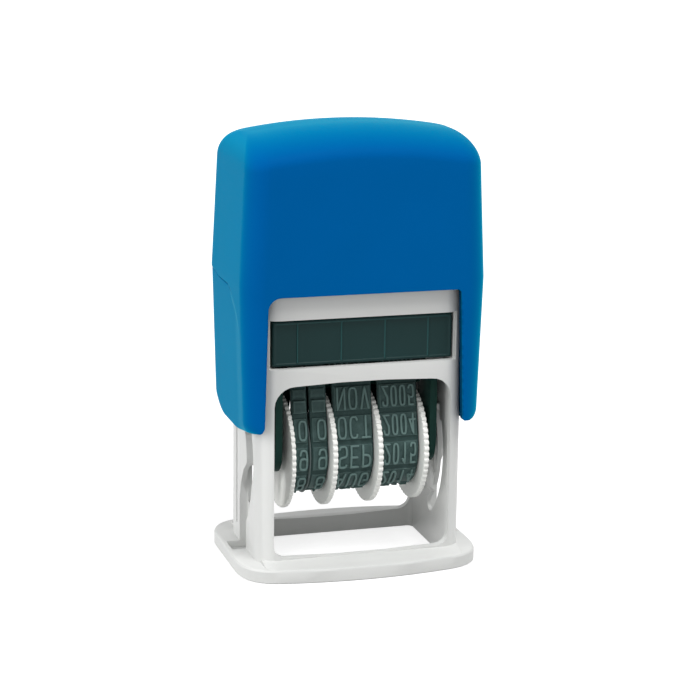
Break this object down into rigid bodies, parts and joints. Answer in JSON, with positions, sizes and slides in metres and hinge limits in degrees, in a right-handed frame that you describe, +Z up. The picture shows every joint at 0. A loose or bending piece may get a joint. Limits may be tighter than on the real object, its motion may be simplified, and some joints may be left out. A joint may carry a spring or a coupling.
{
  "type": "self-inking date stamp",
  "caption": "Self-inking date stamp: a sprung cap drives a date unit that turns over from the ink pad to the paper; toothed thumb wheels set the day, month and year bands.",
  "frame": {"origin": "centre of the foot's outline, on the table that the stamp stands on", "axes": "+Z up along the cap's stroke; the face with the thumb wheels looks towards -Y; +X to the right seen from that face, along the thumb wheels' shaft"},
  "size_m": [0.0424, 0.0324, 0.0759],
  "materials": {
    "cap_blue": "satin moulded",
    "frame_white": "satin moulded",
    "wheel_white": "satin moulded",
    "cage_dark": "satin moulded",
    "cartridge_grey": "satin moulded",
    "band_rubber": "matt",
    "pad_felt": "inked felt",
    "spring_steel": "drawn wire"
  },
  "bodies": {
    "frame": {"base_frame": "frame_white", "ink_cartridge": "cartridge_grey", "ink_pad": "pad_felt", "return_spring": "spring_steel"},
    "cap": {"cap_shell": "cap_blue"},
    "swivel": {"swivel_shoe_left": "frame_white", "swivel_shoe_right": "frame_white"},
    "date_unit": {"cage_plate_left": "cage_dark", "cage_plate_right": "cage_dark", "guide_pin_left": "cage_dark", "guide_pin_right": "cage_dark", "shaft_clip_left": "spring_steel", "shaft_clip_right": "spring_steel", "wheel_shaft": "spring_steel", "platen_bar": "cage_dark", "band_divider": "wheel_white", "day_tens_band": "band_rubber", "day_units_band": "band_rubber", "month_band": "band_rubber", "year_band": "band_rubber"},
    "day_tens_dial": {"day_tens_wheel": "wheel_white"},
    "day_units_dial": {"day_units_wheel": "wheel_white"},
    "month_dial": {"month_wheel": "wheel_white"},
    "year_dial": {"year_wheel": "wheel_white"}
  },
  "joints": [
    {"name": "cap_press", "type": "slide", "parent": "frame", "child": "cap", "axis": [0, 0, -1], "range_m": [0, 0.02143], "stiffness_N_per_m": 250, "springref_m": -0.02, "deforming": ["return_spring"]},
    {"name": "swivel_drop", "type": "slide", "parent": "frame", "child": "swivel", "axis": [0, 0, -1], "range_m": [0, 0.01143]},
    {"name": "unit_turn", "type": "hinge", "parent": "swivel", "child": "date_unit", "pos_m": [0, 0, 0.0237], "axis": [1, 0, 0], "range_deg": [0, 180]},
    {"name": "day_tens_turn", "type": "hinge", "parent": "date_unit", "child": "day_tens_dial", "pos_m": [0, 0, 0.01935], "axis": [1, 0, 0], "continuous": true},
    {"name": "day_units_turn", "type": "hinge", "parent": "date_unit", "child": "day_units_dial", "pos_m": [0, 0, 0.01935], "axis": [1, 0, 0], "continuous": true},
    {"name": "month_turn", "type": "hinge", "parent": "date_unit", "child": "month_dial", "pos_m": [0, 0, 0.01935], "axis": [1, 0, 0], "continuous": true},
    {"name": "year_turn", "type": "hinge", "parent": "date_unit", "child": "year_dial", "pos_m": [0, 0, 0.01935], "axis": [1, 0, 0], "continuous": true}
  ],
  "couplings": [
    {"joint": "swivel_drop", "follows": "cap_press", "ratio": 0.53335},
    {"joint": "unit_turn", "follows": "cap_press", "rad_per_m": 146.6}
  ]
}
